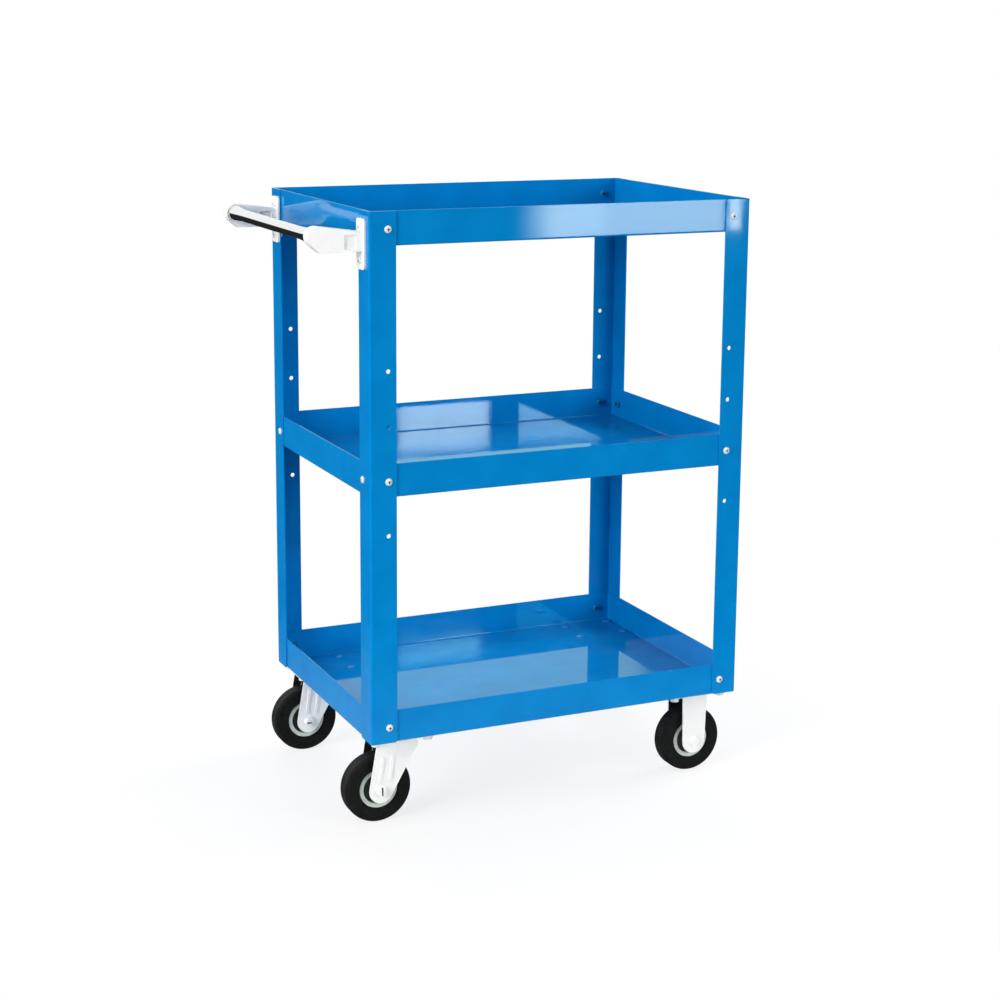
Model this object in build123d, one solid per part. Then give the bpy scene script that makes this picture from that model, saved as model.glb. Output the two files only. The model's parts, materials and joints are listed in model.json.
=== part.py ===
from build123d import *
import os

# Three-tier steel cart: four bent angle posts, three folded trays screwed inside them, a push handle
# at one end, two swivel casters under the handle end and two rigid casters under the other end.
# Millimetres, +Z up, floor at Z = 0. The handle end is at -X and the front at -Y.

# Frame
FRAME_LENGTH = 600.0
FRAME_DEPTH = 420.0
POST_HEIGHT = 760.0
POST_LEG = 40.0
POST_SHEET = 2.0
POST_INNER_BEND = 1.0
POST_END_ROUND = 4.0

# Trays
TRAY_HEIGHT = 48.0
TRAY_SHEET = 1.2
TRAY_INNER_BEND = 1.5
TRAY_INNER_CORNER = 2.0
MIDDLE_TRAY_RISE = 360.0

# Tray screws and their holes in the posts
SCREW_BELOW_RIM = 25.0
SCREW_INSET = 28.0
SPARE_HOLE_PITCH = 78.0
SPARE_HOLE_STEPS = (-1, 1, 2)
SCREW_DIAMETER = 6.0
SCREW_HOLE_PLAY = 0.3
SCREW_HEAD_DIAMETER = 10.5
SCREW_HEAD_HEIGHT = 3.3
SCREW_NUT_ACROSS = 10.0
SCREW_NUT_HEIGHT = 5.0
THREAD_PLAY = 0.05
THREAD_END = 1.5

# Push handle
HANDLE_REACH = 67.0
HANDLE_ABOVE_FOOT = 11.5
HANDLE_TUBE_DIAMETER = 18.0
HANDLE_TUBE_WALL = 1.5
HANDLE_END_DIAMETER = 25.0
HANDLE_FLARE_LENGTH = 60.0
SOCKET_PLAY = 0.05
SOCKET_WALL = 2.0
SOCKET_END_WALL = 8.0
BRACKET_FOOT_WIDTH = 30.0
BRACKET_FOOT_HEIGHT = 70.0
BRACKET_FOOT_THICKNESS = 3.0
BRACKET_FOOT_ROUND = 6.0
BRACKET_SCREW_BELOW_RIM = 23.0
BRACKET_SCREW_SPACING = 46.0
ARM_WIDTH = 18.0
ARM_HEIGHT = 27.0
ARM_ABOVE_FOOT = 3.5
ARM_HEEL = 3.0
ARM_POCKET_LENGTH = 18.0
ARM_POCKET_HEIGHT = 19.0
ARM_POCKET_DEPTH = 2.5
ARM_POCKET_START = 8.0

# Casters, shared sizes
CASTER_HEIGHT = 133.0
CASTER_INSET_X = 55.0
CASTER_INSET_Y = 50.0
PLATE_LENGTH = 100.0
PLATE_WIDTH = 80.0
PLATE_THICKNESS = 3.0
PLATE_ROUND = 8.0
PLATE_BOLT_SPACING_X = 80.0
PLATE_BOLT_SPACING_Y = 60.0
BOLT_DIAMETER = 8.0
BOLT_HOLE_PLAY = 0.4
BOLT_HEAD_ACROSS = 13.0
BOLT_HEAD_HEIGHT = 5.3
BOLT_NUT_HEIGHT = 6.5
BOLT_END = 1.0
PLATE_BOLT_HEAD_DIAMETER = 16.0
PLATE_BOLT_HEAD_HEIGHT = 3.0

# Wheels
WHEEL_DIAMETER = 102.0
TYRE_WIDTH = 28.0
TYRE_SHOULDER = 6.0
TYRE_BEAD = 2.0
CORE_DIAMETER = 58.0
CORE_RIM = 6.0
CORE_WEB = 8.0
CORE_DRAFT = 1.5
HUB_DIAMETER = 22.0
HUB_SIDE_PLAY = 0.75
SLEEVE_DIAMETER = 12.0
SLEEVE_BORE_PLAY = 0.1
WHEEL_RUNNING_PLAY = 0.05

# Forks
FORK_GAP = 43.0
FORK_SHEET = 2.5
FORK_INNER_BEND = 3.0
AXLE_HOLE_PLAY = 0.2
SWIVEL_TIP_RADIUS = 18.0
RIGID_TIP_RADIUS = 19.0
RIGID_LEG_TOP = 42.0

# Swivel head
TRAIL = 30.0
SWIVEL_GAP = 4.0
SWIVEL_CLEARANCE = 0.3
CROWN_DIAMETER = 56.0
CROWN_RIM_WALL = 2.0
CROWN_RIM_CLEARANCE = 1.0
CROWN_HALF_LENGTH = 24.0
SHOULDER_BACK = 37.0
SHOULDER_FRONT = 28.0
SHOULDER_DROP = 9.0
BALL_RING_DIAMETER = 40.0
BALL_RING_WIDTH = 5.0
LOWER_RACE_DIAMETER = 26.0
LOWER_RACE_THICKNESS = 3.0
KING_PIN_DIAMETER = 10.0
KING_PIN_HEAD_DIAMETER = 16.0
KING_PIN_HEAD_HEIGHT = 1.5
KING_PIN_SEAT_PLAY = 0.1
KING_PIN_RUNNING_PLAY = 0.05
KING_NUT_ACROSS = 16.0
KING_NUT_HEIGHT = 6.0
RIB_COUNT = 2
RIB_WIDTH = 5.0
RIB_RISE = 1.2
RIB_LENGTH = 34.0
RIB_LEAN = 7.5
RIB_RECESS_MARGIN = 1.0
RIB_SPACING = 15.0
RIB_FOOT_BACK = 2.0
RIB_FOOT_ABOVE_AXLE = 16.0

# Heights worked out from the sizes above
BOTTOM_TRAY_UNDER = CASTER_HEIGHT
POST_BOTTOM = BOTTOM_TRAY_UNDER
POST_TOP = POST_BOTTOM + POST_HEIGHT
MIDDLE_TRAY_UNDER = BOTTOM_TRAY_UNDER + MIDDLE_TRAY_RISE
TOP_TRAY_UNDER = POST_TOP - TRAY_HEIGHT
SCREW_ABOVE_UNDER = TRAY_HEIGHT - SCREW_BELOW_RIM
TOP_SCREW_HEIGHT = TOP_TRAY_UNDER + SCREW_ABOVE_UNDER
MIDDLE_SCREW_HEIGHT = MIDDLE_TRAY_UNDER + SCREW_ABOVE_UNDER
BOTTOM_SCREW_HEIGHT = BOTTOM_TRAY_UNDER + SCREW_ABOVE_UNDER
SPARE_HOLE_HEIGHTS = [MIDDLE_SCREW_HEIGHT + step * SPARE_HOLE_PITCH for step in SPARE_HOLE_STEPS]
BRACKET_TOP_SCREW = TOP_TRAY_UNDER + TRAY_HEIGHT - BRACKET_SCREW_BELOW_RIM
BRACKET_LOW_SCREW = BRACKET_TOP_SCREW - BRACKET_SCREW_SPACING
BRACKET_CENTRE = (BRACKET_TOP_SCREW + BRACKET_LOW_SCREW) / 2
HANDLE_HEIGHT = BRACKET_CENTRE + HANDLE_ABOVE_FOOT
ARM_CENTRE = BRACKET_CENTRE + ARM_ABOVE_FOOT
AXLE_HEIGHT = WHEEL_DIAMETER / 2
PLATE_UNDER = CASTER_HEIGHT - PLATE_THICKNESS
CROWN_TOP = PLATE_UNDER - SWIVEL_GAP
CROWN_UNDER = CROWN_TOP - FORK_SHEET
LOWER_RACE_TOP = CROWN_UNDER - SWIVEL_CLEARANCE
KING_NUT_TOP = LOWER_RACE_TOP - LOWER_RACE_THICKNESS

# Places in plan, for the front left corner
END_FACE = -FRAME_LENGTH / 2
FRONT_FACE = -FRAME_DEPTH / 2
TRAY_LENGTH = FRAME_LENGTH - 2 * POST_SHEET
TRAY_DEPTH = FRAME_DEPTH - 2 * POST_SHEET
SCREW_X = END_FACE + SCREW_INSET
SCREW_Y = FRONT_FACE + SCREW_INSET
BRACKET_Y = FRONT_FACE + POST_LEG - BRACKET_FOOT_WIDTH / 2
HANDLE_X = END_FACE - HANDLE_REACH
CASTER_X = END_FACE + CASTER_INSET_X
CASTER_Y = FRONT_FACE + CASTER_INSET_Y

# Radii
SCREW_RADIUS = SCREW_DIAMETER / 2
SCREW_HOLE_RADIUS = SCREW_RADIUS + SCREW_HOLE_PLAY
BOLT_RADIUS = BOLT_DIAMETER / 2
BOLT_HOLE_RADIUS = BOLT_RADIUS + BOLT_HOLE_PLAY
TUBE_RADIUS = HANDLE_TUBE_DIAMETER / 2
TUBE_END_RADIUS = HANDLE_END_DIAMETER / 2
SOCKET_RADIUS = TUBE_END_RADIUS + SOCKET_PLAY
ARM_END_RADIUS = SOCKET_RADIUS + SOCKET_WALL
ARM_INNER_FACE = BRACKET_Y + ARM_WIDTH / 2
TUBE_END = BRACKET_Y - ARM_WIDTH / 2 + SOCKET_END_WALL
KING_PIN_RADIUS = KING_PIN_DIAMETER / 2
FORK_OUTER_HALF = FORK_GAP / 2 + FORK_SHEET

# The origin is under the middle of the whole cart, so the handle end shifts the frame to +X
LEFT_REACH = FRAME_LENGTH / 2 + HANDLE_REACH + ARM_END_RADIUS
RIGHT_REACH = FRAME_LENGTH / 2 + SCREW_HEAD_HEIGHT
ORIGIN_SHIFT = (LEFT_REACH - RIGHT_REACH) / 2

LOW = (Align.CENTER, Align.CENTER, Align.MIN)
HIGH = (Align.CENTER, Align.CENTER, Align.MAX)
INWARD_FROM_FRONT = Rot(-90, 0, 0)
INWARD_FROM_END = Rot(0, 90, 0)
CORNERS = {
    "front_left": (False, False),
    "front_right": (True, False),
    "rear_left": (False, True),
    "rear_right": (True, True),
}
ENDS = {"front": (False, False), "rear": (False, True)}


# Helpers

def at_corner(shape, right, rear):
    """Turn a piece drawn for the front left corner over to another corner of the cart."""
    if right:
        shape = mirror(shape, Plane.YZ)
    if rear:
        shape = mirror(shape, Plane.XZ)
    return shape


def at_corners(shape, corners=CORNERS):
    """Copies of a front left piece at each of the named corners."""
    return [at_corner(shape, *sides) for sides in corners.values()]


def standing_rod(radius, low, high):
    """Upright cylinder between two heights on the Z axis."""
    return Pos(0, 0, low) * Cylinder(radius, high - low, align=LOW)


def standing_ring(outer, inner, low, high):
    """Upright ring between two heights on the Z axis."""
    return standing_rod(outer, low, high) - standing_rod(inner, low, high)


def cross_rod(radius, start, end):
    """Cylinder along +Y from one Y to another."""
    return Pos(0, start, 0) * INWARD_FROM_FRONT * Cylinder(radius, end - start, align=LOW)


def rounded_block(length, depth, height, corner, bend):
    """Block standing on Z = 0 with round upright corners and a round lower edge."""
    outline = RectangleRounded(length, depth, corner)
    block = extrude(outline, height)
    return fillet(block.edges().group_by(Axis.Z)[0], bend)


def hexagon(across):
    return RegularPolygon(across / 2, 6, major_radius=False)


def round_head_bolt(radius, head_diameter, head_height, length):
    """Dome-headed bolt, head below Z = 0 and shank up to its length."""
    head_radius = head_diameter / 2
    dome_radius = (head_radius ** 2 + head_height ** 2) / (2 * head_height)
    ball = Pos(0, 0, dome_radius - head_height) * Sphere(dome_radius)
    dome = ball & Cylinder(head_radius, head_height, align=HIGH)
    return dome + Cylinder(radius, length, align=LOW)


def frame_screw(grip):
    """Dome-headed screw that reaches through its grip and a nut."""
    length = grip + SCREW_NUT_HEIGHT + THREAD_END
    return round_head_bolt(SCREW_RADIUS, SCREW_HEAD_DIAMETER, SCREW_HEAD_HEIGHT, length)


def hex_bolt(radius, across, head_height, length):
    """Hexagon-headed bolt, head below Z = 0 and shank up to its length."""
    head = extrude(hexagon(across), -head_height)
    return head + Cylinder(radius, length, align=LOW)


def hex_nut(radius, across, height):
    """Hexagon nut standing on Z = 0."""
    return extrude(hexagon(across) - Circle(radius + THREAD_PLAY), height)


# Posts and trays

def post(front_holes, end_holes):
    """Front left post: a sheet angle with screw holes, given as (inset, height) on each leg."""
    square = (Align.MIN, Align.MIN)
    section = Rectangle(POST_LEG, POST_LEG, align=square)
    section -= Pos(POST_SHEET, POST_SHEET) * Rectangle(POST_LEG, POST_LEG, align=square)
    bend = section.vertices().sort_by_distance((0, 0))
    section = fillet(bend[0], POST_INNER_BEND + POST_SHEET)
    inside = section.vertices().sort_by_distance((POST_SHEET, POST_SHEET))
    section = fillet(inside[0], POST_INNER_BEND)
    angle = extrude(section, POST_HEIGHT)
    leg_ends = angle.edges().filter_by(Axis.Y).group_by(Axis.X)[-1]
    leg_ends += angle.edges().filter_by(Axis.X).group_by(Axis.Y)[-1]
    angle = fillet(leg_ends, POST_END_ROUND)
    angle = Pos(END_FACE, FRONT_FACE, POST_BOTTOM) * angle
    drill = Cylinder(SCREW_HOLE_RADIUS, 2 * POST_SHEET)
    for inset, height in front_holes:
        angle -= Pos(END_FACE + inset, FRONT_FACE + POST_SHEET / 2, height) * INWARD_FROM_FRONT * drill
    for inset, height in end_holes:
        angle -= Pos(END_FACE + POST_SHEET / 2, FRONT_FACE + inset, height) * INWARD_FROM_END * drill
    return angle


def tray(under, front_holes=(), end_holes=(), floor_holes=()):
    """Folded pan. Holes are given for the front left corner and cut at every corner that has them."""
    pan = rounded_block(
        TRAY_LENGTH, TRAY_DEPTH, TRAY_HEIGHT, TRAY_INNER_CORNER + TRAY_SHEET, TRAY_INNER_BEND + TRAY_SHEET
    )
    hollow = rounded_block(
        TRAY_LENGTH - 2 * TRAY_SHEET, TRAY_DEPTH - 2 * TRAY_SHEET, TRAY_HEIGHT, TRAY_INNER_CORNER, TRAY_INNER_BEND
    )
    pan = Pos(0, 0, under) * (pan - Pos(0, 0, TRAY_SHEET) * hollow)
    drill = Cylinder(SCREW_HOLE_RADIUS, 4 * TRAY_SHEET)
    floor_drill = Cylinder(BOLT_HOLE_RADIUS, 4 * TRAY_SHEET)
    wall = POST_SHEET + TRAY_SHEET / 2
    cuts = []
    for x, height, corners in front_holes:
        cuts += at_corners(Pos(x, FRONT_FACE + wall, height) * INWARD_FROM_FRONT * drill, corners)
    for y, height, corners in end_holes:
        cuts += at_corners(Pos(END_FACE + wall, y, height) * INWARD_FROM_END * drill, corners)
    for x, y in floor_holes:
        cuts += at_corners(Pos(x, y, under + TRAY_SHEET / 2) * floor_drill)
    return pan - cuts


def front_screw_place(height):
    return Pos(SCREW_X, FRONT_FACE, height) * INWARD_FROM_FRONT


def end_screw_place(height):
    return Pos(END_FACE, SCREW_Y, height) * INWARD_FROM_END


def tray_fasteners(places):
    """Screws from outside the posts and nuts inside the tray walls, at each place and corner."""
    grip = POST_SHEET + TRAY_SHEET
    screw = frame_screw(grip)
    nut = Pos(0, 0, grip) * hex_nut(SCREW_RADIUS, SCREW_NUT_ACROSS, SCREW_NUT_HEIGHT)
    screws = [copy for place in places for copy in at_corners(place * screw)]
    nuts = [copy for place in places for copy in at_corners(place * nut)]
    return screws, nuts


# Push handle

def handle_bracket():
    """Front bracket: a screwed foot and an arm with a square pocket in each side and a blind tube socket."""
    foot_plane = Plane.YZ.offset(END_FACE - BRACKET_FOOT_THICKNESS)
    foot = RectangleRounded(BRACKET_FOOT_WIDTH, BRACKET_FOOT_HEIGHT, BRACKET_FOOT_ROUND)
    bracket = extrude(foot_plane * Pos(BRACKET_Y, BRACKET_CENTRE) * foot, BRACKET_FOOT_THICKNESS)
    root_x = END_FACE - BRACKET_FOOT_THICKNESS / 2
    arm_low = ARM_CENTRE - ARM_HEIGHT / 2
    arm_line = Polyline((root_x, ARM_CENTRE + ARM_HEIGHT / 2), (root_x, arm_low), (HANDLE_X + ARM_HEEL, arm_low))
    arm_end = Pos(HANDLE_X, HANDLE_HEIGHT) * Circle(ARM_END_RADIUS)
    side = make_hull(arm_end.edges() + arm_line.edges())
    arm_plane = Plane.XZ.offset(-BRACKET_Y)
    bracket += extrude(arm_plane * side, ARM_WIDTH / 2, both=True)
    bracket -= Pos(HANDLE_X, 0, HANDLE_HEIGHT) * cross_rod(SOCKET_RADIUS, TUBE_END, 0)
    pocket = Box(ARM_POCKET_LENGTH, ARM_POCKET_DEPTH, ARM_POCKET_HEIGHT)
    pocket_x = END_FACE - BRACKET_FOOT_THICKNESS - ARM_POCKET_START - ARM_POCKET_LENGTH / 2
    for side_sign in (-1, 1):
        pocket_y = BRACKET_Y + side_sign * (ARM_WIDTH - ARM_POCKET_DEPTH) / 2
        bracket -= Pos(pocket_x, pocket_y, ARM_CENTRE) * pocket
    drill = Cylinder(SCREW_HOLE_RADIUS, 4 * BRACKET_FOOT_THICKNESS)
    for height in (BRACKET_TOP_SCREW, BRACKET_LOW_SCREW):
        bracket -= Pos(END_FACE, BRACKET_Y, height) * INWARD_FROM_END * drill
    return bracket


def bracket_fasteners():
    """Two screws through the foot, the upper one through the tray wall as well."""
    screws, nuts = [], []
    grips = {
        BRACKET_TOP_SCREW: BRACKET_FOOT_THICKNESS + POST_SHEET + TRAY_SHEET,
        BRACKET_LOW_SCREW: BRACKET_FOOT_THICKNESS + POST_SHEET,
    }
    for height, grip in grips.items():
        place = Pos(END_FACE - BRACKET_FOOT_THICKNESS, BRACKET_Y, height) * INWARD_FROM_END
        screw = frame_screw(grip)
        nut = Pos(0, 0, grip) * hex_nut(SCREW_RADIUS, SCREW_NUT_ACROSS, SCREW_NUT_HEIGHT)
        screws += at_corners(place * screw, ENDS)
        nuts += at_corners(place * nut, ENDS)
    return screws, nuts


def flared_rod(middle_radius, end_radius):
    """Rod along the handle that swells in a long curve to its two ends, which sit in the arms."""
    flare_end = -ARM_INNER_FACE
    flare_start = flare_end - HANDLE_FLARE_LENGTH
    flare = TangentArc((middle_radius, flare_start), (end_radius, flare_end), tangent=(0, 1))
    ends = Polyline((end_radius, flare_end), (end_radius, -TUBE_END), (0, -TUBE_END), (0, 0))
    middle = Polyline((0, 0), (middle_radius, 0), (middle_radius, flare_start))
    half = revolve(make_face(middle.edges() + flare.edges() + ends.edges()), Axis.Y)
    return half + mirror(half, Plane.XZ)


def handle_tube():
    """Tube with both ends opened out, held between the two blind sockets."""
    outer = flared_rod(TUBE_RADIUS, TUBE_END_RADIUS)
    bore = flared_rod(TUBE_RADIUS - HANDLE_TUBE_WALL, TUBE_END_RADIUS - HANDLE_TUBE_WALL)
    return Pos(HANDLE_X, 0, HANDLE_HEIGHT) * (outer - bore)


# Casters, drawn about an upright axis through the middle of the plate, with the floor at Z = 0

def plate_bolt_places():
    half_x = PLATE_BOLT_SPACING_X / 2
    half_y = PLATE_BOLT_SPACING_Y / 2
    return [(x, y) for x in (-half_x, half_x) for y in (-half_y, half_y)]


def mounting_plate():
    outline = RectangleRounded(PLATE_LENGTH, PLATE_WIDTH, PLATE_ROUND)
    for x, y in plate_bolt_places():
        outline -= Pos(x, y) * Circle(BOLT_HOLE_RADIUS)
    return Pos(0, 0, PLATE_UNDER) * extrude(outline, PLATE_THICKNESS)


def fork_arch(top, side):
    """Sheet bent over the wheel: two legs and their web, cut to a side outline drawn in X and Z."""
    outer = Rectangle(2 * FORK_OUTER_HALF, 2 * top)
    outer = fillet(outer.vertices().group_by(Axis.Y)[-1], FORK_INNER_BEND + FORK_SHEET)
    inner = Rectangle(FORK_GAP, 2 * (top - FORK_SHEET))
    inner = fillet(inner.vertices().group_by(Axis.Y)[-1], FORK_INNER_BEND)
    arch = extrude(Plane.YZ * (outer - inner), PLATE_LENGTH, both=True)
    return arch & extrude(Plane.XZ * side, PLATE_WIDTH, both=True)


def axle_hole(x):
    hole = cross_rod(BOLT_RADIUS + AXLE_HOLE_PLAY, -PLATE_WIDTH, PLATE_WIDTH)
    return Pos(x, 0, AXLE_HEIGHT) * hole


def leg_ribs(width, depth, thickness):
    """Slot-shaped pressings side by side on the front leg, starting at a depth from the wheel's middle."""
    slot = Pos(RIB_LENGTH / 2, 0) * SlotCenterToCenter(RIB_LENGTH, width)
    ribs = []
    for number in range(RIB_COUNT):
        foot_x = -TRAIL - RIB_FOOT_BACK + number * RIB_SPACING
        foot = Pos(foot_x, AXLE_HEIGHT + RIB_FOOT_ABOVE_AXLE) * Rot(0, 0, 90 - RIB_LEAN)
        ribs.append(extrude(Plane.XZ.offset(depth) * foot * slot, thickness))
    return ribs + [mirror(rib, Plane.XZ) for rib in ribs]


def swivel_fork():
    """Pressed fork that trails behind its king pin, with ribs pressed out of both legs."""
    shoulder = CROWN_TOP - SHOULDER_DROP
    crown_line = Polyline(
        (-SHOULDER_BACK, shoulder),
        (-CROWN_HALF_LENGTH, CROWN_TOP),
        (CROWN_HALF_LENGTH, CROWN_TOP),
        (SHOULDER_FRONT, shoulder),
    )
    tip = Pos(-TRAIL, AXLE_HEIGHT) * Circle(SWIVEL_TIP_RADIUS)
    fork = fork_arch(CROWN_TOP, make_hull(tip.edges() + crown_line.edges()))
    fork += leg_ribs(RIB_WIDTH, FORK_OUTER_HALF, RIB_RISE)
    fork -= leg_ribs(RIB_WIDTH - 2 * RIB_RECESS_MARGIN, FORK_GAP / 2, RIB_RISE)
    crown_radius = CROWN_DIAMETER / 2
    fork += standing_rod(crown_radius, CROWN_UNDER, CROWN_TOP)
    rim_top = PLATE_UNDER - CROWN_RIM_CLEARANCE
    fork += standing_ring(crown_radius, crown_radius - CROWN_RIM_WALL, CROWN_UNDER, rim_top)
    fork -= standing_rod(KING_PIN_RADIUS + KING_PIN_RUNNING_PLAY, CROWN_UNDER - FORK_SHEET, PLATE_UNDER)
    return fork - axle_hole(-TRAIL)


def swivel_plate():
    seat = KING_PIN_HEAD_DIAMETER / 2 + KING_PIN_SEAT_PLAY
    plate = mounting_plate() - standing_rod(seat, CASTER_HEIGHT - KING_PIN_HEAD_HEIGHT, CASTER_HEIGHT)
    return plate - standing_rod(KING_PIN_RADIUS + KING_PIN_SEAT_PLAY, PLATE_UNDER, CASTER_HEIGHT)


def swivel_ball_ring():
    """The caged ring of balls between plate and crown, as one ring."""
    middle = BALL_RING_DIAMETER / 2
    half = BALL_RING_WIDTH / 2
    return standing_ring(middle + half, middle - half, CROWN_TOP + SWIVEL_CLEARANCE, PLATE_UNDER)


def swivel_lower_race():
    bore = KING_PIN_RADIUS + KING_PIN_SEAT_PLAY
    return standing_ring(LOWER_RACE_DIAMETER / 2, bore, KING_NUT_TOP, LOWER_RACE_TOP)


def swivel_king_pin():
    low = KING_NUT_TOP - KING_NUT_HEIGHT - THREAD_END
    shank = standing_rod(KING_PIN_RADIUS, low, CASTER_HEIGHT)
    return shank + standing_rod(KING_PIN_HEAD_DIAMETER / 2, CASTER_HEIGHT - KING_PIN_HEAD_HEIGHT, CASTER_HEIGHT)


def swivel_king_nut():
    nut = hex_nut(KING_PIN_RADIUS, KING_NUT_ACROSS, KING_NUT_HEIGHT)
    return Pos(0, 0, KING_NUT_TOP - KING_NUT_HEIGHT) * nut


def rigid_bracket():
    """Mounting plate with two straight legs joined to its underside."""
    half = RIGID_LEG_TOP / 2
    top_line = Line((-half, PLATE_UNDER), (half, PLATE_UNDER))
    tip = Pos(0, AXLE_HEIGHT) * Circle(RIGID_TIP_RADIUS)
    legs = fork_arch(PLATE_UNDER, make_hull(tip.edges() + [top_line]))
    return mounting_plate() + legs - axle_hole(0)


def axle_bolt(x):
    length = 2 * FORK_OUTER_HALF + BOLT_NUT_HEIGHT + BOLT_END
    bolt = hex_bolt(BOLT_RADIUS, BOLT_HEAD_ACROSS, BOLT_HEAD_HEIGHT, length)
    return Pos(x, -FORK_OUTER_HALF, AXLE_HEIGHT) * INWARD_FROM_FRONT * bolt


def axle_nut(x):
    nut = hex_nut(BOLT_RADIUS, BOLT_HEAD_ACROSS, BOLT_NUT_HEIGHT)
    return Pos(x, FORK_OUTER_HALF, AXLE_HEIGHT) * INWARD_FROM_FRONT * nut


def axle_sleeve(x):
    """Spacer tube clamped between the legs, which the wheel turns on."""
    outer = cross_rod(SLEEVE_DIAMETER / 2, -FORK_GAP / 2, FORK_GAP / 2)
    bore = cross_rod(BOLT_RADIUS + SLEEVE_BORE_PLAY, -FORK_GAP / 2, FORK_GAP / 2)
    return Pos(x, 0, AXLE_HEIGHT) * (outer - bore)


def ring_section(half_profile):
    """Whole section of a ring about the axle from one half, points as (radius, distance from the middle)."""
    other_half = [(radius, -side) for radius, side in reversed(half_profile)]
    return make_face(Polyline(*half_profile, *other_half, close=True))


def turned(section, x):
    """Ring about the axle with that section."""
    return Pos(x, 0, AXLE_HEIGHT) * revolve(section, Axis.Y)


def wheel_core(x):
    """Dished core: a deep recess between rim and hub on both sides."""
    bore = SLEEVE_DIAMETER / 2 + WHEEL_RUNNING_PLAY
    hub = HUB_DIAMETER / 2
    rim = CORE_DIAMETER / 2
    hub_half = FORK_GAP / 2 - HUB_SIDE_PLAY
    rim_half = TYRE_WIDTH / 2 - TYRE_BEAD
    web_half = CORE_WEB / 2
    half_profile = [
        (rim, rim_half),
        (rim - CORE_RIM, rim_half),
        (rim - CORE_RIM - CORE_DRAFT, web_half),
        (hub + CORE_DRAFT, web_half),
        (hub, hub_half),
        (bore, hub_half),
    ]
    return turned(ring_section(half_profile), x)


def tyre(x):
    """Solid tyre with round shoulders, bonded round the core."""
    tread = WHEEL_DIAMETER / 2
    bead = CORE_DIAMETER / 2
    half_width = TYRE_WIDTH / 2
    section = ring_section([
        (tread, half_width),
        (bead + TYRE_BEAD, half_width),
        (bead, half_width - TYRE_BEAD),
    ])
    shoulders = section.vertices().group_by(Axis.X)[-1]
    return turned(fillet(shoulders, TYRE_SHOULDER), x)


def plate_fasteners():
    """Low-headed bolts down through the bottom tray's floor and each caster plate, with nuts below."""
    grip = TRAY_SHEET + PLATE_THICKNESS
    length = grip + BOLT_NUT_HEIGHT + BOLT_END
    bolt = round_head_bolt(BOLT_RADIUS, PLATE_BOLT_HEAD_DIAMETER, PLATE_BOLT_HEAD_HEIGHT, length)
    nut = Pos(0, 0, grip) * hex_nut(BOLT_RADIUS, BOLT_HEAD_ACROSS, BOLT_NUT_HEIGHT)
    bolts, nuts = [], []
    for x, y in plate_bolt_places():
        place = Pos(CASTER_X + x, CASTER_Y + y, BOTTOM_TRAY_UNDER + TRAY_SHEET) * Rot(180, 0, 0)
        bolts += at_corners(place * bolt)
        nuts += at_corners(place * nut)
    return bolts, nuts


# The whole cart as named pieces

def frame_pieces():
    front_heights = [TOP_SCREW_HEIGHT, MIDDLE_SCREW_HEIGHT, BOTTOM_SCREW_HEIGHT, *SPARE_HOLE_HEIGHTS]
    front_holes = [(SCREW_INSET, height) for height in front_heights]
    middle_hole = [(SCREW_INSET, MIDDLE_SCREW_HEIGHT)]
    bracket_inset = BRACKET_Y - FRONT_FACE
    bracket_holes = [(bracket_inset, BRACKET_TOP_SCREW), (bracket_inset, BRACKET_LOW_SCREW)]
    handle_post = post(front_holes, middle_hole + bracket_holes)
    plain_post = post(front_holes, middle_hole)
    pieces = {}
    for corner, (right, rear) in CORNERS.items():
        pieces["post_" + corner] = at_corner(plain_post if right else handle_post, right, rear)
    caster_holes = [(CASTER_X + x, CASTER_Y + y) for x, y in plate_bolt_places()]
    pieces["top_tray"] = tray(
        TOP_TRAY_UNDER, [(SCREW_X, TOP_SCREW_HEIGHT, CORNERS)], [(BRACKET_Y, BRACKET_TOP_SCREW, ENDS)]
    )
    pieces["middle_tray"] = tray(
        MIDDLE_TRAY_UNDER, [(SCREW_X, MIDDLE_SCREW_HEIGHT, CORNERS)], [(SCREW_Y, MIDDLE_SCREW_HEIGHT, CORNERS)]
    )
    pieces["bottom_tray"] = tray(
        BOTTOM_TRAY_UNDER, [(SCREW_X, BOTTOM_SCREW_HEIGHT, CORNERS)], floor_holes=caster_holes
    )
    screw_places = {
        "top_tray": [front_screw_place(TOP_SCREW_HEIGHT)],
        "middle_tray": [front_screw_place(MIDDLE_SCREW_HEIGHT), end_screw_place(MIDDLE_SCREW_HEIGHT)],
        "bottom_tray": [front_screw_place(BOTTOM_SCREW_HEIGHT)],
    }
    for name, places in screw_places.items():
        pieces[name + "_screws"], pieces[name + "_nuts"] = tray_fasteners(places)
    return pieces


def handle_pieces():
    pieces = {"handle_tube": handle_tube()}
    bracket = handle_bracket()
    for end, sides in ENDS.items():
        pieces["handle_bracket_" + end] = at_corner(bracket, *sides)
    pieces["handle_bracket_screws"], pieces["handle_bracket_nuts"] = bracket_fasteners()
    return pieces


def wheel_pieces(x):
    return {
        "axle_bolt": axle_bolt(x),
        "axle_nut": axle_nut(x),
        "axle_sleeve": axle_sleeve(x),
        "wheel_core": wheel_core(x),
        "tyre": tyre(x),
    }


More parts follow.
